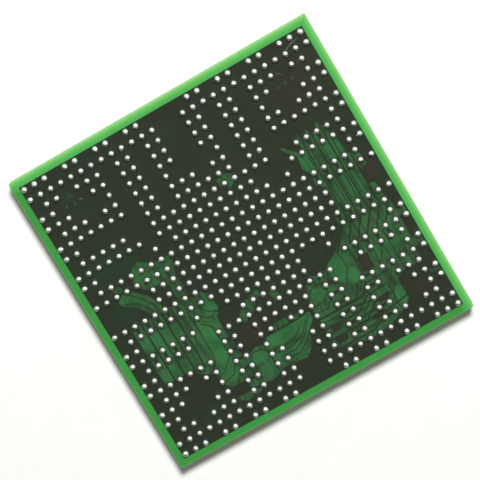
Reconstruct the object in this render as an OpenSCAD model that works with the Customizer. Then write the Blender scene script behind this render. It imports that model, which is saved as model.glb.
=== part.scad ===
// Flip-chip ball grid array package, lying with its solder balls up.
// A laminate substrate carries a bare die and its capacitors below, and the balls above.
// The origin is the centre of the die's back face, which is what the package lies on.
// +Z points out of the ball side, row A of the balls is at +Y and column 1 at -X.

/* [Ball array] */
// Distance between neighbouring balls
pitch = 0.8; // [0.65:0.01:1.27]
// Diameter of a solder ball
ball_d = 0.46; // [0.42:0.01:0.5]
// Diameter of the flat where a ball wets its pad
seat_d = 0.36; // [0.3:0.01:0.38]
// Gap between the edge of that flat and the wall of the mask opening
opening_gap = 0.03; // [0.025:0.005:0.05]
// How far a free pad runs on under the mask, past the opening
pad_lap = 0.04; // [0.02:0.005:0.06]

/* [Substrate] */
// From the centre of an outer ball to the edge of the body
edge_margin = 0.8; // [0.7:0.01:1.5]
// From the centre of an outer ball to the edge of the outer copper
plane_margin = 0.29; // [0.25:0.01:0.5]
// Thickness of the core laminate
core_t = 0.8; // [0.4:0.05:1.2]
// Thickness of the build-up film on each side of the core
film_t = 0.14; // [0.08:0.01:0.2]
// Thickness of the copper planes that lie on the core
core_plane_t = 0.03; // [0.015:0.005:0.05]
// Distance that the core planes keep from the edge of the body
core_plane_setback = 0.6; // [0.2:0.05:1.5]
// Thickness of the outer copper
copper_t = 0.02; // [0.01:0.005:0.04]
// Thickness of the solder mask over copper
mask_t = 0.02; // [0.02:0.005:0.03]
// How far the mask sinks where no copper lies under it
mask_sink = 0.015; // [0.005:0.001:0.018]

/* [Copper pattern] */
// Width of a signal trace
trace_w = 0.06; // [0.05:0.01:0.1]
// Width of a supply trace
feed_w = 0.11; // [0.1:0.01:0.2]
// Width of the links between paired pads
link_w = 0.24; // [0.15:0.01:0.4]

/* [Die] */
// Size of the die along X
die_w = 9.4; // [6:0.1:11]
// Size of the die along Y
die_l = 8.8; // [6:0.1:11]
// Thickness of the die
die_t = 0.775; // [0.65:0.005:0.9]
// Gap between the die and the mask, which the bumps bridge
bump_gap = 0.075; // [0.05:0.005:0.1]
// Diameter of a bump
bump_d = 0.12; // [0.08:0.01:0.16]
// Distance between neighbouring bumps
bump_pitch = 0.6; // [0.4:0.05:1]
// Least distance from the centre of a bump to the edge of the die
bump_margin = 0.4; // [0.2:0.05:0.8]
// How far the underfill runs out from the die
underfill_run = 0.8; // [0.4:0.05:1.2]
// How far the underfill climbs up the side of the die
underfill_climb = 0.5; // [0.2:0.05:0.6]

/* [Capacitors] */
// Length of a capacitor
cap_l = 1.0; // [0.8:0.05:1.6]
// Width of a capacitor
cap_w = 0.5; // [0.4:0.05:0.8]
// Height of a capacitor
cap_h = 0.45; // [0.3:0.05:0.5]
// Length of a metal end cap
cap_end = 0.25; // [0.15:0.05:0.3]
// Thickness of the solder between an end cap and its land
cap_solder_t = 0.03; // [0.02:0.005:0.05]
// How far a land reaches past the end of the capacitor
land_reach = 0.18; // [0.1:0.02:0.3]
// Distance from the underfill to the row of capacitors
cap_gap = 1.1; // [0.6:0.1:2]
// Distance between the two capacitors of a row
cap_spacing = 3.2; // [2:0.1:5]

/* [First pin mark] */
// Length of the mark's two short sides
mark_l = 1.0; // [0.5:0.1:1.6]
// Distance from the mark to the edges of the body
mark_inset = 0.5; // [0.3:0.1:1]

/* [Hidden] */
$fn = 24;

// The north-west quarter of the ball map, which mirrors along both axes.
quarter = [
    "ooo.oo.oo.oo..",
    "ooooooooooooo.",
    ".oo.ooo.oo.oo.",
    "oo...oo.oo.oo.",
    "ooo...o.oo.oo.",
    ".ooo.oo.oo.o..",
    "ooooooo.oo.oo.",
    "oo......oo.ooo",
    ".ooooo..oooooo",
    "ooooooo...oooo",
    "oo.....o.ooooo",
    ".ooooooooooooo",
    "oooooooooooooo",
    ".....ooooooooo"
];
// Places [column, row] that break the symmetry
added = [[13, 6], [14, 21], [8, 9], [9, 9]];
left_out = [[10, 18], [9, 17], [18, 17]];

count = 2 * len(quarter);
last = count - 1;
span = last * pitch;

body_w = span + 2 * edge_margin;
plane_w = span + 2 * plane_margin;
opening_d = seat_d + 2 * opening_gap;
pad_d = opening_d + 2 * pad_lap;

// Heights, from the die's back face up
mask_below_z = die_t + bump_gap;
film_below_z = mask_below_z + mask_t;
core_z = film_below_z + film_t;
film_above_z = core_z + core_t;
copper_z = film_above_z + film_t;
seat_z = copper_z + copper_t;
ball_rise = sqrt(pow(ball_d / 2, 2) - pow(seat_d / 2, 2));

// Where the underfill's skirt bends, as shares of its run and of its climb
skirt_bend = [0.3, 0.45];

// Overshoot of a cutting solid past the face that it cuts
slack = 0.01;

// JEDEC row letters leave out I, O, Q, S, X and Z.
letters = "abcdefghjklmnprtuvwy";
function row_letters(r) =
    r < len(letters) ? letters[r] : str("a", letters[r - len(letters)]);
function row_node(r) = str("balls_row_", row_letters(r));

function listed(c, r, places) = len([for (p = places) if (p == [c, r]) p]) > 0;
function folded(k) = k < len(quarter) ? k : last - k;
function has_ball(c, r) =
    listed(c, r, added)
    || (quarter[folded(r)][folded(c)] == "o" && !listed(c, r, left_out));

// A place on the ball lattice, [column, row], in millimetres
function at(place) = pitch * [place[0] - last / 2, last / 2 - place[1]];

// Places of the balls of row r
function row_places(r) = [for (c = [0:last]) if (has_ball(c, r)) [c, r]];

// ---- Outer copper: windows cut in the plane, in lattice places ----

// West: a fan, a field of columns, a block of bus lines and a lobe
fan_west = [
    [1.8, 12.5], [2.5, 12.1], [3.4, 12.35], [4.3, 13.2], [4.9, 14.3], [4.9, 15.2],
    [3.8, 15.2], [3.6, 14.5], [2.8, 13.6], [1.9, 12.9]
];
tip_west = [[1.8, 11.3], [2.6, 11.3], [2.75, 11.8], [2.1, 11.9]];
field_west = [
    [3.7, 11.9], [4.0, 11.1], [4.4, 10.4], [5.1, 10.2], [5.6, 10.6], [6.6, 11.0],
    [7.6, 11.0], [7.7, 11.8], [7.4, 12.7], [7.4, 15.4], [6.4, 15.4], [6.4, 13.3],
    [5.6, 12.8], [4.8, 12.9], [4.2, 12.5]
];
bus_west = [
    [1.55, 15.1], [6.5, 15.1], [6.5, 20.9], [5.6, 22.0], [4.6, 21.4],
    [4.45, 20.85], [1.6, 20.85]
];
lobe_west = [
    [6.4, 15.3], [8.5, 15.2], [9.0, 15.8], [9.05, 17.1], [8.5, 18.0],
    [8.45, 19.4], [8.75, 20.3], [8.5, 21.0], [6.4, 21.0]
];

// South: a field below the lobe with a dark inlet, and one below the middle
field_south = [
    [5.75, 22.5], [6.4, 20.9], [8.5, 20.9], [8.7, 21.8], [9.4, 22.0],
    [10.1, 21.75], [10.8, 22.0], [11.3, 21.5], [11.3, 24.6], [10.7, 24.8],
    [10.0, 25.1], [9.0, 24.9], [8.6, 25.4], [7.1, 25.6], [6.4, 25.2],
    [6.5, 24.95], [7.85, 24.95], [7.85, 23.9], [6.5, 23.9], [6.1, 23.3]
];
field_middle = [
    [11.2, 21.5], [12.2, 21.2], [12.4, 20.8], [13.6, 20.8], [14.0, 21.1],
    [14.9, 20.9], [15.6, 21.4], [15.6, 22.0], [15.0, 22.7], [14.2, 24.2],
    [13.6, 24.8], [11.2, 24.6]
];

// Small windows among the supply balls
islet_north = [[14.5, 7.5], [15.2, 7.2], [15.9, 7.5], [16.0, 8.1], [15.3, 8.6], [14.6, 8.3]];
islet_west = [
    [10.1, 19.0], [10.6, 18.2], [11.6, 17.7], [12.6, 17.4], [12.8, 17.7],
    [11.9, 18.5], [11.2, 19.2], [10.3, 19.5]
];
islet_middle = [[13.4, 18.2], [14.0, 17.8], [14.2, 18.9], [13.6, 19.1]];

// East: a block of bus lines with a frayed top, a tail beside it, and a wide field
bus_east = [
    [21.5, 9.0], [22.0, 8.4], [22.4, 7.5], [22.8, 8.2], [23.2, 7.4], [23.7, 8.2],
    [24.3, 7.3], [24.7, 8.0], [25.1, 8.6], [25.3, 10.9], [26.2, 11.4],
    [26.3, 12.5], [25.5, 13.0], [25.5, 14.1], [26.1, 14.3], [26.1, 15.0], [26.4, 16.4],
    [21.6, 16.4], [21.6, 15.1], [22.3, 14.6], [22.3, 12.6], [21.6, 12.2],
    [21.7, 10.9], [21.3, 10.3]
];
tail_east = [[20.5, 7.9], [20.7, 7.8], [21.6, 8.8], [21.6, 9.2], [21.2, 8.9]];
field_east = [
    [20.3, 17.8], [21.2, 16.9], [22.0, 16.3], [26.4, 16.3], [26.5, 17.3],
    [27.2, 17.3], [27.2, 17.8], [26.4, 17.9], [26.4, 20.1], [27.2, 20.1],
    [27.2, 20.7], [26.3, 20.9], [26.2, 21.7], [25.8, 22.2], [24.3, 22.2],
    [23.6, 22.7], [23.6, 24.6], [23.0, 25.1], [21.0, 25.9], [19.3, 26.1],
    [16.5, 25.6], [16.0, 25.0], [15.9, 21.3], [16.2, 20.3], [16.3, 19.5],
    [17.3, 18.8], [18.4, 19.0], [19.1, 18.5]
];
notch_east = [[26.3, 23.2], [27.2, 23.3], [27.2, 23.6], [26.4, 23.6]];

windows = [
    fan_west, tip_west, field_west, bus_west, lobe_west, field_south, field_middle,
    islet_north, islet_west, islet_middle, bus_east, tail_east, field_east,
    notch_east
];

// Plane left standing inside the east field
islands = [
    [[21.4, 19.3], [22.5, 19.3], [22.4, 20.75], [21.4, 20.75]],
    [[16.4, 23.45], [17.3, 23.45], [17.5, 23.9], [16.6, 24.0]],
    [[16.3, 24.55], [17.5, 24.6], [17.4, 25.1], [16.4, 25.15]],
    [[21.3, 23.25], [22.4, 23.1], [22.2, 23.75], [21.2, 23.7]],
    [[19.9, 24.4], [21.2, 24.3], [21.5, 24.75], [20.2, 24.9]]
];

// Signal traces through the windows
traces = [
    // bus lines, west
    [[6.8, 12.4], [6.75, 15.6]],
    [[6.5, 15.0], [6.6, 17.4], [6.5, 21.0], [6.1, 21.6]],
    [[6.1, 16.3], [6.1, 18.3], [5.7, 19.2]],
    [[5.85, 16.3], [5.85, 17.6]],
    [[2.75, 12.1], [3.9, 13.4], [4.4, 14.3], [4.4, 15.3]],
    [[2.2, 12.9], [3.2, 13.4], [4.05, 14.5], [4.1, 15.2]],
    [[5.3, 11.4], [6.4, 11.55], [7.8, 11.35]],
    // around the lobe
    [[7.3, 15.1], [7.45, 16.2], [8.2, 17.1], [9.2, 17.4]],
    [[7.2, 16.9], [7.9, 17.6], [8.7, 17.3], [8.9, 17.6]],
    [[7.0, 17.7], [7.75, 18.4], [7.75, 21.3], [6.6, 22.4], [5.6, 22.6]],
    // south field
    [[7.9, 22.0], [7.2, 23.0], [6.2, 23.2]],
    [[7.95, 22.8], [7.4, 23.5], [7.0, 24.0]],
    [[8.0, 22.95], [9.2, 22.95]],
    [[7.9, 24.1], [9.2, 24.1], [9.3, 23.4], [9.9, 23.3]],
    [[9.2, 25.0], [9.2, 22.5], [9.5, 22.15], [10.3, 22.15], [10.8, 22.6], [10.8, 24.9]],
    // fan below the middle
    [[11.2, 22.7], [12.7, 22.85], [13.6, 22.6], [14.2, 22.1]],
    [[11.4, 23.15], [12.9, 23.3], [14.0, 22.9], [15.0, 21.8]],
    [[11.5, 23.6], [13.1, 23.7], [14.2, 23.0], [15.4, 21.6]],
    [[11.6, 24.1], [13.2, 24.1], [14.2, 23.5], [15.2, 22.4]],
    // bus lines, east
    [[22.25, 9.4], [22.3, 10.6]],
    [[22.75, 9.4], [22.7, 12.6], [22.8, 14.6]],
    [[23.15, 12.4], [23.2, 14.6]],
    [[23.75, 9.4], [23.65, 13.2], [23.7, 14.6]],
    [[24.2, 12.4], [24.15, 14.6]],
    [[24.8, 9.4], [24.65, 12.8], [24.7, 14.6]],
    [[25.1, 12.4], [25.1, 14.6]],
    // around the bright patches of the east field
    [[16.2, 20.2], [17.0, 19.6], [18.1, 19.7], [19.2, 20.6], [19.2, 21.5]],
    [[17.95, 19.8], [17.9, 20.5], [17.3, 21.15], [15.8, 21.3]],
    [[20.3, 17.7], [20.35, 19.6], [19.9, 20.3], [19.4, 21.4]],
    [[20.9, 21.0], [20.4, 21.9], [19.6, 22.3]],
    // east columns
    [[23.0, 17.9], [23.1, 19.3], [22.9, 21.0], [22.9, 22.4]],
    [[24.0, 18.0], [24.0, 21.0], [22.7, 22.8], [22.6, 24.9]],
    [[24.6, 18.2], [24.6, 22.2]],
    [[25.5, 18.1], [25.5, 22.2]],
    // slanting lines of the east field
    [[21.1, 16.9], [20.2, 18.2]],
    [[23.9, 19.3], [23.4, 20.2], [22.8, 21.0]],
    [[20.5, 21.1], [20.0, 22.0], [19.5, 22.4]],
    [[23.4, 22.5], [22.7, 23.5], [22.4, 24.4]],
    [[15.9, 21.9], [17.2, 21.9], [17.9, 21.2]],
    [[16.0, 22.9], [18.4, 22.95], [19.6, 22.95]],
    [[17.6, 24.0], [19.4, 24.0], [20.4, 23.3], [20.9, 22.7]],
    [[17.7, 25.05], [19.6, 25.1], [20.6, 24.95]]
];

// Supply traces through the windows
feeds = [
    // bus lines, west
    [[2.53, 15.0], [2.53, 20.9]],
    [[3.53, 15.0], [3.53, 20.9]],
    [[4.5, 15.2], [4.5, 20.9]],
    [[5.42, 15.2], [5.42, 21.3]],
    // head of the field below the middle
    [[11.1, 21.42], [14.4, 21.42], [15.7, 21.2]],
    // bus lines, east
    [[22.5, 7.3], [22.45, 11.0], [22.5, 16.4]],
    [[23.45, 7.5], [23.45, 11.0], [23.45, 16.4]],
    [[24.45, 7.2], [24.4, 11.0], [24.5, 16.4]],
    [[25.5, 11.0], [25.5, 16.4]],
    // slanting lines, east
    [[21.8, 16.2], [20.4, 18.0]],
    [[22.7, 16.2], [21.5, 17.9]],
    [[23.6, 16.2], [22.4, 17.9]],
    [[24.5, 16.2], [23.3, 17.9]],
    [[25.4, 16.2], [24.2, 17.9]],
    [[26.2, 16.3], [25.1, 17.9]],
    [[21.25, 18.0], [21.25, 20.9]],
    // level lines, east
    [[15.8, 22.45], [19.2, 22.5], [20.2, 22.5], [20.95, 21.6], [23.4, 21.5]],
    [[15.8, 23.5], [19.3, 23.5], [20.6, 22.6], [22.4, 22.5]],
    [[15.8, 24.5], [19.6, 24.5], [21.0, 23.4], [22.6, 23.4]],
    [[16.2, 25.55], [19.8, 25.55], [21.6, 24.6], [23.7, 24.2]]
];

// Neighbouring places whose balls share a net: down the columns, then along the rows
pairs = concat(
    [for (c = [2:6]) for (r = [15, 18]) [[c, r], [c, r + 1]]],
    [for (c = [22:25]) for (r = [8, 11, 15, 18]) [[c, r], [c, r + 1]]],
    [for (c = [8, 18, 21]) for (r = [20:25]) [[c, r], [c + 1, r]]]
);
function both_filled(t) = has_ball(t[0][0], t[0][1]) && has_ball(t[1][0], t[1][1]);
links = [for (t = pairs) if (both_filled(t)) t];

// Boxes of the lattice, [first column, first row, last column, last row], whose balls
// may stand in a window and so need pads of their own
pad_fields = [[2, 10, 15, 25], [15, 7, 15, 8], [16, 18, 27, 26], [22, 8, 26, 17]];

function in_box(p, b) =
    p[0] >= b[0] && p[0] <= b[2] && p[1] >= b[1] && p[1] <= b[3];
function near_window(p) = len([for (b = pad_fields) if (in_box(p, b)) b]) > 0;
free_pads = [for (r = [0:last]) for (p = row_places(r)) if (near_window(p)) p];

// ---- Capacitors: [x, y, turn], two on each side of the die ----

cap_out = underfill_run + cap_gap + cap_w / 2;
cap_places = [
    for (s = [-1, 1]) for (k = [-1, 1]) each [
        [k * cap_spacing / 2, s * (die_l / 2 + cap_out), 0],
        [s * (die_w / 2 + cap_out), k * cap_spacing / 2, 90]
    ]
];
land_l = cap_end + land_reach;
cap_top_z = mask_below_z - cap_solder_t;
cap_z = cap_top_z - cap_h;

// ---- Shapes that several pieces share ----

// A square slab of the body, or of a layer set back from its edge
module slab(w, z, t) {
    translate([-w / 2, -w / 2, z]) cube([w, w, t]);
}

module zone(places) {
    polygon([for (p = places) at(p)]);
}

function unit(v) = v / norm(v);
function left_of(v) = [-v[1], v[0]];
// Offset of the bend at b, so that both legs of the track keep their width
function bend(a, b, c, half) =
    let (n1 = left_of(unit(b - a)), n2 = left_of(unit(c - b)), m = unit(n1 + n2))
    m * half / (m * n1);
function flank(p, half) = [
    for (i = [0:len(p) - 1])
        p[i] + (
            i == 0 ? left_of(unit(p[1] - p[0])) * half
            : i == len(p) - 1 ? left_of(unit(p[i] - p[i - 1])) * half
            : bend(p[i - 1], p[i], p[i + 1], half)
        )
];
function reversed(list) = [for (i = [len(list) - 1:-1:0]) list[i]];

// A track of width w along lattice places
module track(places, w) {
    p = [for (q = places) at(q)];
    polygon(concat(flank(p, w / 2), reversed(flank(p, -w / 2))));
}

// A flat shape as it is, or h thick
module raised(h) {
    if (h > 0) linear_extrude(h) children();
    else children();
}

// The outer copper, flat or h thick. Each piece is raised by itself, so that the copper
// comes out as one solid for each net and one for the plane.
module copper_plan(h = 0) {
    raised(h) difference() {
        square(plane_w, center = true);
        for (w = windows) zone(w);
    }
    for (i = islands) raised(h) zone(i);
    for (t = traces) raised(h) track(t, trace_w);
    for (t = feeds) raised(h) track(t, feed_w);
    for (t = links) raised(h) track(t, link_w);
    for (p = free_pads) raised(h) translate(at(p)) circle(d = pad_d);
}

// Bump places on a centred grid
module at_bumps() {
    nx = floor((die_w / 2 - bump_margin) / bump_pitch);
    ny = floor((die_l / 2 - bump_margin) / bump_pitch);
    for (i = [-nx:nx]) for (j = [-ny:ny])
        translate([i * bump_pitch, j * bump_pitch, 0]) children();
}

module at_capacitors() {
    for (c = cap_places) translate([c[0], c[1], 0]) rotate(c[2]) children();
}

// Both ends of the capacitor at hand, each with +X pointing outward
module at_cap_ends() {
    for (turn = [0, 180]) rotate(turn) translate([cap_l / 2, 0, 0]) children();
}

// Outline of the first pin mark: a right triangle in the corner of ball A1
module mark_plan() {
    corner = body_w / 2 - mark_inset;
    polygon([[-corner, corner], [-corner + mark_l, corner], [-corner, corner - mark_l]]);
}

// ---- Pieces ----

module flip_chip_die() {
    color("dimgray")
        translate([-die_w / 2, -die_l / 2, 0]) cube([die_w, die_l, die_t]);
}

module die_bumps() {
    color("silver")
        at_bumps() translate([0, 0, die_t]) cylinder(d = bump_d, h = bump_gap + mask_t);
}

// Section of the underfill's skirt: it hollows as it climbs the die
module underfill_section() {
    polygon([
        [0, mask_below_z],
        [underfill_run, mask_below_z],
        [underfill_run * skirt_bend[0], mask_below_z - underfill_climb * skirt_bend[1]],
        [0, mask_below_z - underfill_climb]
    ]);
}

module underfill_skirt() {
    // straight runs along the four sides
    for (side = [[0, die_w, die_l], [90, die_l, die_w], [180, die_w, die_l], [270, die_l, die_w]])
        rotate(side[0]) translate([side[1] / 2, side[2] / 2, 0])
            rotate([90, 0, 0]) linear_extrude(side[2]) underfill_section();
}

module underfill() {
    color("darkslategray") difference() {
        union() {
            translate([-die_w / 2, -die_l / 2, die_t]) cube([die_w, die_l, bump_gap]);
            underfill_skirt();
            for (x = [-1, 1]) for (y = [-1, 1])
                translate([x * die_w / 2, y * die_l / 2, 0])
                    rotate_extrude() underfill_section();
        }
        flip_chip_die();
        die_bumps();
    }
}

module die_side_mask() {
    color("darkgreen") difference() {
        slab(body_w, mask_below_z, mask_t);
        die_bumps();
        capacitor_lands();
        first_pin_mark();
    }
}

module first_pin_mark() {
    color("gold") translate([0, 0, mask_below_z]) linear_extrude(mask_t) mark_plan();
}

module capacitor_lands() {
    color("gold") at_capacitors() at_cap_ends()
        translate([-cap_end, -cap_w / 2, mask_below_z]) cube([land_l, cap_w, mask_t]);
}

// Solder between land and end cap, with a fillet up the end face
module capacitor_solder() {
    color("silver") at_capacitors() at_cap_ends()
        translate([0, cap_w / 2, 0]) rotate([90, 0, 0]) linear_extrude(cap_w)
            polygon([
                [-cap_end, mask_below_z],
                [land_reach, mask_below_z],
                [0, cap_top_z - cap_h / 2],
                [0, cap_top_z],
                [-cap_end, cap_top_z]
            ]);
}

module capacitor_ends() {
    color("lightgray") at_capacitors() at_cap_ends()
        translate([-cap_end, -cap_w / 2, cap_z]) cube([cap_end, cap_w, cap_h]);
}

module capacitor_bodies() {
    color("tan") at_capacitors()
        translate([-cap_l / 2 + cap_end, -cap_w / 2, cap_z])
            cube([cap_l - 2 * cap_end, cap_w, cap_h]);
}

module die_side_film() {
    color("darkkhaki") difference() {
        slab(body_w, film_below_z, film_t);
        core_plane_below();
    }
}

module core_plane_below() {
    color("peru") slab(body_w - 2 * core_plane_setback, core_z - core_plane_t, core_plane_t);
}

module core_laminate() {
    color("yellowgreen") slab(body_w, core_z, core_t);
}

module core_plane_above() {
    color("peru") slab(body_w - 2 * core_plane_setback, film_above_z, core_plane_t);
}

module ball_side_film() {
    color("darkkhaki") difference() {
        slab(body_w, film_above_z, film_t);
        core_plane_above();
    }
}

module ball_side_copper() {
    color("peru") translate([0, 0, copper_z]) copper_plan(copper_t);
}

// The mask fills in between the copper, covers it, and leaves the seats open.
module ball_side_mask() {
    color("limegreen") difference() {
        union() {
            slab(body_w, copper_z, copper_t + mask_t - mask_sink);
            translate([0, 0, seat_z]) linear_extrude(mask_t) copper_plan();
        }
        ball_side_copper();
        for (r = [0:last]) for (p = row_places(r))
            translate([at(p)[0], at(p)[1], seat_z - slack])
                cylinder(d = opening_d, h = mask_t + 2 * slack);
    }
}

// A reflowed ball: a sphere with a flat where it wets the pad
module ball() {
    difference() {
        translate([0, 0, ball_rise]) sphere(d = ball_d);
        translate([0, 0, -ball_d]) cylinder(d = 2 * ball_d, h = ball_d);
    }
}

module balls_row(r) {
    color("white") for (p = row_places(r))
        translate([at(p)[0], at(p)[1], seat_z]) ball();
}

flip_chip_die();
die_bumps();
underfill();
die_side_mask();
first_pin_mark();
capacitor_lands();
capacitor_solder();
capacitor_ends();
capacitor_bodies();
die_side_film();
core_plane_below();
core_laminate();
core_plane_above();
ball_side_film();
ball_side_copper();
ball_side_mask();
for (r = [0:last]) balls_row(r);
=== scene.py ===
"""Looks of the ball grid array package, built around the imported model. Metres, Blender 4.5."""

import math
import random

import bpy
from mathutils import Matrix, Vector


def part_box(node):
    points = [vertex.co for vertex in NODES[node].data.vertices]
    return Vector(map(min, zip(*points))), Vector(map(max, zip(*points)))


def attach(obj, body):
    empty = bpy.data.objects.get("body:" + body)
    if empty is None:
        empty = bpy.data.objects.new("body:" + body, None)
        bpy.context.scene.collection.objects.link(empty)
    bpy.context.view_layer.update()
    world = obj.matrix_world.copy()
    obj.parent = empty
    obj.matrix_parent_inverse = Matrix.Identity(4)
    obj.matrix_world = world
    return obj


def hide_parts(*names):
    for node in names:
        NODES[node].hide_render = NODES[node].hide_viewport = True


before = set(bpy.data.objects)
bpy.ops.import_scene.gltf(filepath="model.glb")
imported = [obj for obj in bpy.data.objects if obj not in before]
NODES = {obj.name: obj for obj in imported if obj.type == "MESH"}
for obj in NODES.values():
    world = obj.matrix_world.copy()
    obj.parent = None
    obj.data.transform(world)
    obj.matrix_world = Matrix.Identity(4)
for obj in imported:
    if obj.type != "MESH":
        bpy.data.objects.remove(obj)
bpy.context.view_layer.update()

MM = 0.001

# The mask sinks by this much where no copper lies under it, so its height tells the two apart
MASK_SINK = 0.015 * MM

BODY_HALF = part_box("ball_side_mask")[1].x
PLANE_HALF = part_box("ball_side_copper")[1].x
CORE_PLANE_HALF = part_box("core_plane_below")[1].x
MASK_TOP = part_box("ball_side_mask")[1].z

ROWS = sorted(name for name in NODES if name.startswith("balls_row_"))


def row_y(name):
    low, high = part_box(name)
    return (low.y + high.y) / 2


# The ball lattice: columns run along +X from 0, rows along -Y from 0
FIRST_ROW_Y = max(row_y(name) for name in ROWS)
PITCH = 2 * FIRST_ROW_Y / (len(ROWS) - 1)


def at(column, row):
    """A place on the ball lattice, in metres."""
    return Vector((column * PITCH - FIRST_ROW_Y, FIRST_ROW_Y - row * PITCH, 0))


# ---- Node helpers ----


def srgb(red, green, blue):
    """A colour given as it shows on a screen, 0 to 255, as the linear RGBA that sockets hold."""

    def linear(value):
        value /= 255
        return value / 12.92 if value <= 0.04045 else ((value + 0.055) / 1.055) ** 2.4

    return (linear(red), linear(green), linear(blue), 1.0)


def node(tree, kind, inputs=None, **settings):
    """Adds a shader node. inputs maps a socket's name or number to a value or to another socket."""
    made = tree.nodes.new("ShaderNode" + kind)
    for name, value in settings.items():
        setattr(made, name, value)
    for name, value in (inputs or {}).items():
        if isinstance(value, bpy.types.NodeSocket):
            tree.links.new(value, made.inputs[name])
        else:
            made.inputs[name].default_value = value
    return made


def compute(tree, operation, first, second=0.0, third=0.0):
    made = node(tree, "Math", {0: first, 1: second, 2: third}, operation=operation)
    return made.outputs[0]


def ramp(tree, value, low, high):
    """0 where value is low, 1 where it is high, and smooth between them."""
    inputs = {"Value": value, "From Min": low, "From Max": high}
    return node(tree, "MapRange", inputs, interpolation_type="SMOOTHSTEP").outputs["Result"]


def mix(tree, share, first, second):
    """first where share is 0, second where it is 1."""
    made = node(tree, "Mix", {0: share, 6: first, 7: second}, data_type="RGBA")
    return made.outputs[2]


def noise(tree, place, size, detail=3.0, roughness=0.5):
    """Smooth noise, 0 to 1, whose features are about size metres across."""
    inputs = {"Vector": place, "Scale": 1 / size, "Detail": detail, "Roughness": roughness}
    return node(tree, "TexNoise", inputs).outputs["Fac"]


def stretched(tree, place, along_x, along_y, along_z):
    """The place with each axis shrunk, so that noise stretches along it."""
    inputs = {0: place, 1: (1 / along_x, 1 / along_y, 1 / along_z)}
    return node(tree, "VectorMath", inputs, operation="MULTIPLY").outputs[0]


def paint(tree, shader, colour):
    tree.links.new(colour, shader.inputs["Base Color"])


def roughen(tree, shader, pattern, low, high):
    """Roughness from low, where the pattern is 0, to high, where it is 1."""
    roughness = node(tree, "MapRange", {"Value": pattern, "To Min": low, "To Max": high})
    tree.links.new(roughness.outputs["Result"], shader.inputs["Roughness"])


def bump(tree, shader, height, depth, below=None):
    """Raises the shader's surface by up to depth metres where height is 1."""
    inputs = {"Height": height, "Strength": 1.0, "Distance": depth}
    if below is not None:
        inputs["Normal"] = below
    normal = node(tree, "Bump", inputs).outputs["Normal"]
    tree.links.new(normal, shader.inputs["Normal"])
    return normal


def new_material(name):
    """Returns a material, its node tree, its shader and the place of a point, in metres."""
    material = bpy.data.materials.new(name)
    material.use_nodes = True
    tree = material.node_tree
    place = node(tree, "NewGeometry").outputs["Position"]
    return material, tree, tree.nodes["Principled BSDF"], place


def dress(material, *names):
    """Gives CAD nodes their material."""
    for name in names:
        mesh = NODES[name].data
        mesh.materials.clear()
        mesh.materials.append(material)


# ---- Solder mask ----

# Each scratch: the lattice places of its ends, its bow to the left, its width and its strength
SCRATCHES = [
    ((24.4, 1.31), (26.9, 0.32), 0.19 * MM, 0.022 * MM, 1.0),
    ((25.45, 1.9), (25.75, 2.4), 0.04 * MM, 0.02 * MM, 0.35),
    ((23.35, 1.95), (23.95, 2.5), 0.02 * MM, 0.03 * MM, 0.35),
    ((3.5, 2.95), (3.95, 3.2), 0.01 * MM, 0.04 * MM, 0.4),
]


def arc_through(start, end, bow):
    """Centre and radius of the arc that bows to the left of the line from start to end."""
    chord = end - start
    radius = (chord.length / 2) ** 2 / (2 * bow) + bow / 2
    left = Vector((-chord.y, chord.x, 0)).normalized()
    return (start + end) / 2 - left * (radius - bow), radius


def scratch(tree, place, start, end, bow, width):
    """1 on a hairline scratch in the mask, fading towards its ends."""
    centre, radius = arc_through(start, end, bow)
    middle = (start + end) / 2
    half = (end - start).length / 2
    flat = node(tree, "VectorMath", {0: place, 1: (1, 1, 0)}, operation="MULTIPLY").outputs[0]
    from_centre = node(tree, "VectorMath", {0: flat, 1: centre}, operation="DISTANCE").outputs["Value"]
    from_middle = node(tree, "VectorMath", {0: flat, 1: middle}, operation="DISTANCE").outputs["Value"]
    off_line = compute(tree, "ABSOLUTE", compute(tree, "SUBTRACT", from_centre, radius))
    on_line = ramp(tree, off_line, width, width / 3)
    in_reach = ramp(tree, from_middle, half, half / 3)
    broken = ramp(tree, noise(tree, place, 0.25 * MM), 0.25, 0.6)
    return compute(tree, "MULTIPLY", compute(tree, "MULTIPLY", on_line, in_reach), broken)


def all_scratches(tree, place):
    """Each scratch at its own strength, where 1 is the deepest."""
    worn = 0.0
    for start, end, bow, width, strength in SCRATCHES:
        line = scratch(tree, place, at(*start), at(*end), bow, width)
        worn = compute(tree, "MAXIMUM", worn, compute(tree, "MULTIPLY", line, strength))
    return worn


def spots(tree, place, listed, core=0.5):
    """Soft ovals, each given by its centre and half sizes, in lattice steps, and its strength.

    An oval is full within the share core of its size, and fades out from there.
    """
    total = 0.0
    for column, row, wide, high, strength in listed:
        off = node(tree, "VectorMath", {0: place, 1: at(column, row)}, operation="SUBTRACT").outputs[0]
        shares = (1 / (wide * PITCH), 1 / (high * PITCH), 0)
        scaled = node(tree, "VectorMath", {0: off, 1: shares}, operation="MULTIPLY").outputs[0]
        distance = node(tree, "VectorMath", {0: scaled}, operation="LENGTH").outputs["Value"]
        inside = compute(tree, "MULTIPLY", ramp(tree, distance, 1.0, core), strength)
        total = compute(tree, "MAXIMUM", total, inside)
    return total


def specks(tree, place, cell, radius, share):
    """1 on small round specks of dust: one in each cell, of which a share is kept."""
    cells = node(tree, "TexVoronoi", {"Vector": place, "Scale": 1 / cell, "Randomness": 1.0})
    dot = ramp(tree, cells.outputs["Distance"], radius / cell, radius / cell / 2)
    chance = node(tree, "SeparateColor", {0: cells.outputs["Color"]}).outputs[0]
    return compute(tree, "MULTIPLY", dot, compute(tree, "LESS_THAN", chance, share))


def square_reach(tree, x, y):
    """Half the side of the square, centred on the body, on which a point lies."""
    return compute(tree, "MAXIMUM", compute(tree, "ABSOLUTE", x), compute(tree, "ABSOLUTE", y))


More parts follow.
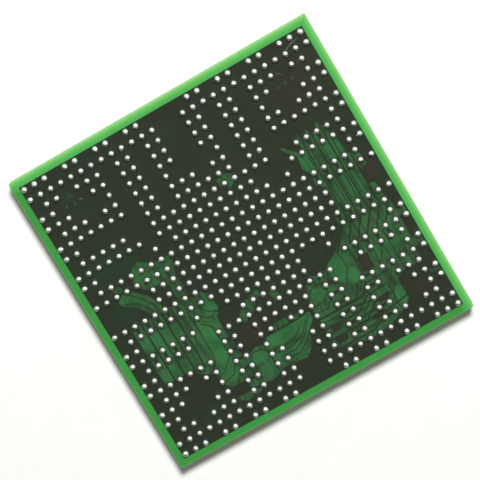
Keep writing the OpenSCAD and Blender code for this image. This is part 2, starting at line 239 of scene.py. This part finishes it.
def border_green_with_painted_glow(tree, place, x, y):
    """Mask over bare laminate: bright, with painted light: paler towards the +X and +Y edges, a painted
    glow of lamp light entering the laminate there.
    """
    lit_side = compute(tree, "MAXIMUM", x, y)
    # Painted glow: the green turns paler towards the +X and +Y edges, standing in for lamp light that
    # enters the laminate there
    painted_glow = ramp(tree, lit_side, PLANE_HALF + 0.1 * MM, BODY_HALF)
    green = mix(tree, noise(tree, place, 1.6 * MM), srgb(56, 140, 60), srgb(62, 149, 68))
    pale = mix(tree, painted_glow, srgb(76, 168, 82), srgb(112, 194, 98))
    on_lit_side = ramp(tree, lit_side, PLANE_HALF - 0.35 * MM, PLANE_HALF + 0.05 * MM)
    return mix(tree, on_lit_side, green, pale)


# The lists of soft ovals below hold, for each: column, row, half width, half height, strength.
# Where no deeper copper lies under a window, so that it is bright
CLEAR_SPOTS = [
    (7.05, 19.9, 0.9, 3.0, 1.0), (8.4, 16.8, 0.9, 0.9, 0.8), (7.3, 17.6, 0.8, 0.8, 0.6),
    (12.6, 22.1, 2.2, 0.8, 1.0), (14.3, 22.0, 1.4, 0.9, 0.9), (9.9, 22.7, 0.9, 0.9, 0.9),
    (7.0, 22.6, 1.1, 1.1, 0.6), (11.6, 23.8, 2.6, 0.9, 0.5), (3.2, 17.1, 2.3, 0.9, 0.75),
    (3.0, 20.2, 2.2, 0.9, 0.6), (2.4, 12.5, 0.6, 0.5, 0.9), (4.7, 11.4, 0.9, 0.9, 0.6),
    (7.1, 11.4, 0.8, 0.5, 0.7), (19.6, 19.3, 1.1, 1.5, 1.0), (17.0, 20.5, 0.7, 0.8, 0.8),
    (20.5, 20.4, 0.6, 1.0, 0.9), (20.4, 18.6, 0.6, 1.0, 0.7), (23.2, 23.9, 0.6, 1.1, 0.7),
    (24.4, 19.8, 2.0, 1.1, 0.5), (22.0, 9.8, 1.1, 1.2, 0.7), (24.4, 10.0, 1.2, 1.0, 0.6),
    (24.0, 13.5, 1.9, 1.5, 0.5), (4.9, 17.1, 0.6, 0.9, 0.6),
]
# Where the streaks in the windows run along X, and not along Y
LEVEL_STREAKS = [(18.8, 23.6, 3.6, 2.8, 1.0), (12.8, 23.6, 3.0, 1.2, 1.0)]


def window_green(tree, place):
    """Mask in the windows of the outer copper, over the deeper copper that shows through in parts."""
    upright = noise(tree, stretched(tree, place, 1, 7, 1), 0.22 * MM, detail=3)
    level = noise(tree, stretched(tree, place, 7, 1, 1), 0.22 * MM, detail=3)
    turned = compute(tree, "GREATER_THAN", spots(tree, place, LEVEL_STREAKS), 0.5)
    streak = ramp(tree, mix(tree, turned, upright, level), 0.38, 0.62)
    cloud = ramp(tree, noise(tree, place, 1.3 * MM, detail=3), 0.35, 0.65)
    grey = mix(tree, cloud, srgb(38, 56, 38), srgb(48, 72, 48))
    dim = mix(tree, cloud, srgb(44, 84, 50), srgb(52, 98, 58))
    patterned = mix(tree, streak, grey, dim)
    bright = mix(tree, cloud, srgb(43, 92, 52), srgb(52, 110, 62))
    return mix(tree, spots(tree, place, CLEAR_SPOTS, core=0.6), patterned, bright)


# Faint light marks in the mask over the plane, and places where it is greener or browner
FAINT_MARKS = [
    (3.05, 2.35, 0.28, 0.2, 0.5), (2.35, 3.1, 0.16, 0.2, 0.6), (3.1, 3.15, 0.18, 0.26, 0.5),
    (23.0, 3.2, 0.14, 0.2, 0.6), (23.75, 3.15, 0.18, 0.18, 0.7), (24.5, 3.1, 0.2, 0.16, 0.6),
]
GREEN_CASTS = [
    (2.7, 2.5, 1.2, 1.1, 1.0), (3.0, 9.4, 4.5, 2.2, 0.7), (3.6, 4.2, 2.2, 1.6, 0.6),
    (2.0, 13.6, 1.8, 2.0, 0.9), (12.6, 1.5, 1.6, 1.5, 0.5), (4.6, 25.0, 3.0, 1.8, 0.5),
]
BROWN_CASTS = [
    (26.4, 13.2, 0.9, 1.6, 0.9), (24.8, 23.8, 1.4, 1.6, 0.6), (10.6, 20.6, 1.6, 1.4, 0.7),
    (22.0, 20.0, 1.0, 1.2, 0.8), (17.0, 24.2, 1.2, 1.4, 0.6), (24.5, 4.0, 4.5, 4.5, 0.4),
]


def covered_copper(tree, place):
    """Mask over the outer copper: almost black, brown in some parts and green in others."""
    cloud = ramp(tree, noise(tree, place, 5 * MM, detail=3), 0.35, 0.65)
    dark = mix(tree, cloud, srgb(37, 43, 30), srgb(35, 46, 32))
    green = mix(tree, spots(tree, place, GREEN_CASTS, core=0.1), dark, srgb(33, 54, 36))
    brown = mix(tree, spots(tree, place, BROWN_CASTS, core=0.1), green, srgb(50, 46, 37))
    marked = mix(tree, spots(tree, place, FAINT_MARKS), brown, srgb(72, 78, 66))
    fine = noise(tree, place, 0.35 * MM, detail=4)
    return mix(tree, compute(tree, "MULTIPLY", fine, 0.2), marked, srgb(52, 56, 44))


def ball_side_mask_material():
    material, tree, shader, place = new_material("solder_mask_ball_side")
    x, y, z = node(tree, "SeparateXYZ", {0: place}).outputs
    outer = square_reach(tree, x, y)
    over_copper = compute(tree, "GREATER_THAN", z, MASK_TOP - MASK_SINK / 2)
    in_border = compute(tree, "GREATER_THAN", outer, PLANE_HALF)

    green = mix(tree, in_border, window_green(tree, place), border_green_with_painted_glow(tree, place, x, y))
    colour = mix(tree, over_copper, green, covered_copper(tree, place))
    # A pale, ragged rim along the sawn edge: partly whitened laminate at the cut, partly a painted
    # highlight on the arris
    cut_edge = ramp(tree, outer, BODY_HALF - 0.05 * MM, BODY_HALF - 0.01 * MM)
    ragged_arris_highlight = compute(tree, "MULTIPLY", cut_edge, noise(tree, place, 0.2 * MM))
    colour = mix(tree, ragged_arris_highlight, colour, srgb(150, 205, 130))
    scratched = all_scratches(tree, place)
    dusty = specks(tree, place, 0.8 * MM, 0.035 * MM, 0.3)
    worn = compute(tree, "MAXIMUM", scratched, compute(tree, "MULTIPLY", dusty, 0.25))
    colour = mix(tree, worn, colour, srgb(150, 150, 140))
    paint(tree, shader, colour)

    shader.inputs["IOR"].default_value = 1.5
    shader.inputs["Specular IOR Level"].default_value = 0.15
    haze = ramp(tree, noise(tree, place, 0.6 * MM), 0.2, 0.9)
    roughen(tree, shader, haze, 0.34, 0.46)
    flow = bump(tree, shader, noise(tree, place, 0.45 * MM), 0.003 * MM)
    bump(tree, shader, scratched, -0.003 * MM, below=flow)
    return material


def die_side_mask_material():
    """The same mask over a plane that keeps clear of the edges."""
    material, tree, shader, place = new_material("solder_mask_die_side")
    x, y, _ = node(tree, "SeparateXYZ", {0: place}).outputs
    outer = square_reach(tree, x, y)
    in_border = ramp(tree, outer, CORE_PLANE_HALF - 0.03 * MM, CORE_PLANE_HALF + 0.03 * MM)
    plane = mix(tree, noise(tree, place, 3 * MM), srgb(26, 74, 44), srgb(34, 86, 50))
    # The border here carries the same painted glow, paler on its +X and +Y sides
    colour = mix(tree, in_border, plane, border_green_with_painted_glow(tree, place, x, y))
    paint(tree, shader, colour)
    roughen(tree, shader, noise(tree, place, 0.6 * MM), 0.3, 0.45)
    bump(tree, shader, noise(tree, place, 0.4 * MM), 0.004 * MM)
    return material


# ---- Laminate, metals, silicon, resin ----


def laminate_material(name, deep, pale, weave):
    """Sawn edge of a laminate: resin with glass bundles that lie in layers."""
    material, tree, shader, place = new_material(name)
    layers = noise(tree, stretched(tree, place, 6, 6, 0.5), weave, detail=4, roughness=0.6)
    paint(tree, shader, mix(tree, ramp(tree, layers, 0.3, 0.7), deep, pale))
    saw_marks = noise(tree, stretched(tree, place, 0.3, 0.3, 4), weave, detail=3)
    roughen(tree, shader, saw_marks, 0.5, 0.75)
    bump(tree, shader, saw_marks, 0.006 * MM)
    return material


def metal_material(name, colour, worn_colour, grain, low_rough, high_rough, depth):
    """A metal whose tint and roughness vary with its grain."""
    material, tree, shader, place = new_material(name)
    pattern = noise(tree, place, grain, detail=4, roughness=0.6)
    paint(tree, shader, mix(tree, ramp(tree, pattern, 0.3, 0.75), colour, worn_colour))
    shader.inputs["Metallic"].default_value = 1.0
    roughen(tree, shader, pattern, low_rough, high_rough)
    bump(tree, shader, pattern, depth)
    return material


def resin_material(name, dark, light, grain, depth):
    """A filled resin or a ceramic: matt, with fine grain."""
    material, tree, shader, place = new_material(name)
    fine = noise(tree, place, grain, detail=5, roughness=0.65)
    paint(tree, shader, mix(tree, ramp(tree, fine, 0.3, 0.7), dark, light))
    roughen(tree, shader, noise(tree, place, grain * 6), 0.35, 0.6)
    bump(tree, shader, fine, depth)
    return material


def silicon_material():
    """Back of the die: ground, then polished, with faint grinding lines across it."""
    material, tree, shader, place = new_material("silicon")
    lines = noise(tree, stretched(tree, place, 40, 0.35, 1), 0.2 * MM, detail=3)
    paint(tree, shader, mix(tree, lines, srgb(104, 108, 118), srgb(124, 128, 136)))
    shader.inputs["Metallic"].default_value = 0.9
    roughen(tree, shader, lines, 0.12, 0.24)
    bump(tree, shader, lines, 0.0005 * MM)
    return material


def dress_cad_nodes():
    dress(ball_side_mask_material(), "ball_side_mask")
    dress(die_side_mask_material(), "die_side_mask")
    core = laminate_material("laminate_edge", srgb(112, 190, 92), srgb(150, 218, 122), 0.12 * MM)
    film = laminate_material("film_edge", srgb(92, 180, 84), srgb(122, 204, 102), 0.05 * MM)
    dress(core, "core_laminate")
    dress(film, "ball_side_film", "die_side_film")
    copper = metal_material(
        "copper", srgb(206, 124, 88), srgb(164, 92, 66), 0.08 * MM, 0.3, 0.5, 0.001 * MM
    )
    dress(copper, "ball_side_copper", "core_plane_above", "core_plane_below")
    gold = metal_material(
        "gold_plating", srgb(226, 188, 104), srgb(204, 160, 84), 0.05 * MM, 0.22, 0.4, 0.001 * MM
    )
    dress(gold, "first_pin_mark", "capacitor_lands")
    solder = metal_material(
        "solder_fillet", srgb(206, 208, 206), srgb(168, 170, 168), 0.06 * MM, 0.22, 0.45, 0.003 * MM
    )
    dress(solder, "capacitor_solder", "die_bumps")
    tin = metal_material(
        "tin_plating", srgb(196, 196, 192), srgb(158, 158, 154), 0.04 * MM, 0.35, 0.6, 0.004 * MM
    )
    dress(tin, "capacitor_ends")
    dress(silicon_material(), "flip_chip_die")
    dress(
        resin_material("underfill_resin", srgb(30, 33, 40), srgb(52, 56, 64), 0.05 * MM, 0.003 * MM),
        "underfill",
    )
    dress(
        resin_material("ceramic", srgb(136, 104, 74), srgb(168, 134, 98), 0.03 * MM, 0.002 * MM),
        "capacitor_bodies",
    )


# ---- Solder balls ----

BALL_SEGMENTS = 28
BALL_RINGS = 11
# How far a ball's lobes may cut into a true sphere, as a share of its radius
BALL_LOBES = 0.012
# Any seed will do: it only keeps the balls the same in each run
BALL_SEED = 28


def ball_centres(name):
    """Centres along X of the balls of a row, from the gaps between their vertices."""
    xs = sorted({round(v.co.x, 6) for v in NODES[name].data.vertices})
    low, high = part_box(name)
    radius = (high.y - low.y) / 2
    centres, first = [], xs[0]
    for here, after in zip(xs, xs[1:] + [math.inf]):
        if after - here > radius:
            centres.append((first + here) / 2)
            first = after
    return centres


def ball_mesh(centre, radius, seat_z, dice):
    """Vertices and faces of one reflowed ball: a sphere cut flat at its seat, slightly lobed.

    It also leans to one side by up to half as much as the lobes are deep.
    """
    seat_angle = math.acos((seat_z - centre.z) / radius)
    lobe_turn = dice.uniform(0, math.tau)
    lobe_size = dice.uniform(0.3, 1.0) * BALL_LOBES
    lean = Vector((dice.uniform(-1, 1), dice.uniform(-1, 1), 0)) * BALL_LOBES * radius / 2
    verts = [centre + Vector((0, 0, radius)) + lean]
    for ring in range(1, BALL_RINGS + 1):
        polar = seat_angle * ring / BALL_RINGS
        # the lobes fade out at the top and at the seat
        free = math.sin(math.pi * ring / BALL_RINGS)
        for segment in range(BALL_SEGMENTS):
            turn = math.tau * segment / BALL_SEGMENTS
            swell = radius * (1 - lobe_size * free * (0.5 + 0.5 * math.cos(2 * (turn - lobe_turn))))
            out = swell * math.sin(polar)
            rim = Vector((out * math.cos(turn), out * math.sin(turn), radius * math.cos(polar)))
            verts.append(centre + lean * free + rim)
    faces = []
    for segment in range(BALL_SEGMENTS):
        after = (segment + 1) % BALL_SEGMENTS
        faces.append((0, 1 + segment, 1 + after))
        for ring in range(BALL_RINGS - 1):
            near = 1 + ring * BALL_SEGMENTS
            far = near + BALL_SEGMENTS
            faces.append((near + segment, far + segment, far + after, near + after))
    last = 1 + (BALL_RINGS - 1) * BALL_SEGMENTS
    faces.append(tuple(last + segment for segment in reversed(range(BALL_SEGMENTS))))
    return verts, faces


def solder_material():
    """Reflowed solder: bright, with a frosted grain and a thin grey oxide in patches."""
    material, tree, shader, place = new_material("reflowed_solder")
    grain = noise(tree, place, 0.05 * MM, detail=4, roughness=0.65)
    patch = noise(tree, place, 0.5 * MM, detail=2)
    tint = mix(tree, ramp(tree, patch, 0.35, 0.75), srgb(238, 240, 236), srgb(214, 218, 212))
    paint(tree, shader, tint)
    shader.inputs["Metallic"].default_value = 1.0
    roughen(tree, shader, grain, 0.16, 0.28)
    bump(tree, shader, grain, 0.0008 * MM)
    return material


def make_balls():
    """One mesh of smooth balls for each row, in place of the row's CAD solids."""
    dice = random.Random(BALL_SEED)
    material = solder_material()
    for name in ROWS:
        low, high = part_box(name)
        radius = (high.y - low.y) / 2
        verts, faces = [], []
        for x in ball_centres(name):
            centre = Vector((x, row_y(name), high.z - radius))
            ball_verts, ball_faces = ball_mesh(centre, radius, low.z, dice)
            faces += [tuple(len(verts) + k for k in face) for face in ball_faces]
            verts += ball_verts
        mesh = bpy.data.meshes.new(name.replace("balls", "solder"))
        mesh.from_pydata(verts, [], faces)
        mesh.polygons.foreach_set("use_smooth", [len(p.vertices) < BALL_SEGMENTS for p in mesh.polygons])
        mesh.materials.append(material)
        balls = bpy.data.objects.new(mesh.name, mesh)
        bpy.context.scene.collection.objects.link(balls)
        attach(balls, "root")
        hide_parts(name)


# ---- Floor, light, camera ----


def is_seen(tree):
    """1 for the camera, and for what metal and gloss reflect or glass lets through."""
    rays = node(tree, "LightPath")
    seen = compute(tree, "MAXIMUM", rays.outputs["Is Camera Ray"], rays.outputs["Is Glossy Ray"])
    return compute(tree, "MAXIMUM", seen, rays.outputs["Is Transmission Ray"])


FLOOR_HALF = 400 * MM
# What the sheet shows beyond the light that falls on it, so that it comes out white
FLOOR_LIFT = 0.04


def make_floor():
    """A white sheet. What shows of it is lifted to full white, and it keeps the shadows."""
    corners = [(x * FLOOR_HALF, y * FLOOR_HALF, 0) for x, y in ((-1, -1), (1, -1), (1, 1), (-1, 1))]
    mesh = bpy.data.meshes.new("floor")
    mesh.from_pydata(corners, [], [(0, 1, 2, 3)])
    floor = bpy.data.objects.new("floor", mesh)
    bpy.context.scene.collection.objects.link(floor)
    material, tree, shader, place = new_material("white_sheet")
    paper = mix(tree, noise(tree, place, 2 * MM), srgb(246, 246, 246), srgb(250, 250, 250))
    paint(tree, shader, paper)
    shader.inputs["Roughness"].default_value = 0.9
    shader.inputs["Specular IOR Level"].default_value = 0.1
    lift = node(tree, "Emission", {"Color": (1, 1, 1, 1), "Strength": FLOOR_LIFT})
    both = node(tree, "AddShader", {0: shader.outputs[0], 1: lift.outputs[0]})
    shown = node(tree, "MixShader", {0: is_seen(tree), 1: shader.outputs[0], 2: both.outputs[0]})
    tree.links.new(shown.outputs[0], tree.nodes["Material Output"].inputs["Surface"])
    mesh.materials.append(material)


# Where the light comes from, and the lamp that gives it
LIGHT_FROM = Vector((0.31, 0.48, 1)).normalized()
LAMP_DISTANCE = 400 * MM
LAMP_WIDTH = 80 * MM
LAMP_WATTS = 1.72

# The white tent that the solder reflects: its axis, and the dark round its foot
TENT_AXIS = Vector((0.46, 0.56, 1)).normalized()
TENT_WHITE = (1, 1, 1, 1)
TENT_FOOT = (0.03, 0.03, 0.025, 1)
# What the lens sees in a level, flat mirror: the tent is dim there
LENS_OPENING = Vector((-0.12, -0.19, 1)).normalized()
LENS_GREY = (0.55, 0.55, 0.53, 1)
# The light that reaches matt surfaces from all round
FILL = (0.13, 0.125, 0.105, 1)


def make_light():
    """A small lamp from the +X +Y side, in a white tent that darkens towards its foot."""
    lamp = bpy.data.lights.new("key", "AREA")
    lamp.shape = "DISK"
    lamp.size = LAMP_WIDTH
    lamp.energy = LAMP_WATTS
    key = bpy.data.objects.new("key", lamp)
    key.location = LIGHT_FROM * LAMP_DISTANCE
    key.rotation_euler = (-LIGHT_FROM).to_track_quat("-Z", "Y").to_euler()
    bpy.context.scene.collection.objects.link(key)

    world = bpy.data.worlds.new("tent")
    bpy.context.scene.world = world
    world.use_nodes = True
    tree = world.node_tree
    tree.nodes.clear()
    direction = node(tree, "TexCoord").outputs["Generated"]

    def within(axis, wide, narrow):
        """0 beyond wide degrees from the axis, 1 within narrow."""
        along = node(tree, "VectorMath", {0: direction, 1: axis}, operation="DOT_PRODUCT").outputs["Value"]
        return ramp(tree, along, math.cos(math.radians(wide)), math.cos(math.radians(narrow)))

    tent = mix(tree, within(TENT_AXIS, 80, 60), TENT_FOOT, TENT_WHITE)
    tent = mix(tree, within(LENS_OPENING, 30, 12), tent, LENS_GREY)
    by_camera = node(tree, "LightPath").outputs["Is Camera Ray"]
    seen = mix(tree, by_camera, tent, TENT_WHITE)
    around = mix(tree, is_seen(tree), FILL, seen)
    background = node(tree, "Background", {"Color": around, "Strength": 1.0})
    output = node(tree, "OutputWorld")
    tree.links.new(background.outputs[0], output.inputs["Surface"])


CAMERA_PLACE = Vector((23.16, 34.25, 180.05)) * MM
CAMERA_TARGET = Vector((0.15, 0.5, 2.33)) * MM
CAMERA_UP = Vector((0.488, 0.844, -0.223))
LENS = 201
SENSOR = 36


def make_camera():
    lens = bpy.data.cameras.new("camera")
    lens.sensor_width = SENSOR
    lens.lens = LENS
    lens.clip_start = 10 * MM
    lens.clip_end = 10
    camera = bpy.data.objects.new("camera", lens)
    forward = (CAMERA_TARGET - CAMERA_PLACE).normalized()
    right = forward.cross(CAMERA_UP).normalized()
    up = right.cross(forward)
    turn = Matrix((right, up, -forward)).transposed()
    camera.matrix_world = Matrix.Translation(CAMERA_PLACE) @ turn.to_4x4()
    bpy.context.scene.collection.objects.link(camera)
    bpy.context.scene.camera = camera


make_camera()
make_floor()
make_light()
dress_cad_nodes()
make_balls()

bpy.context.scene.view_settings.view_transform = "Standard"
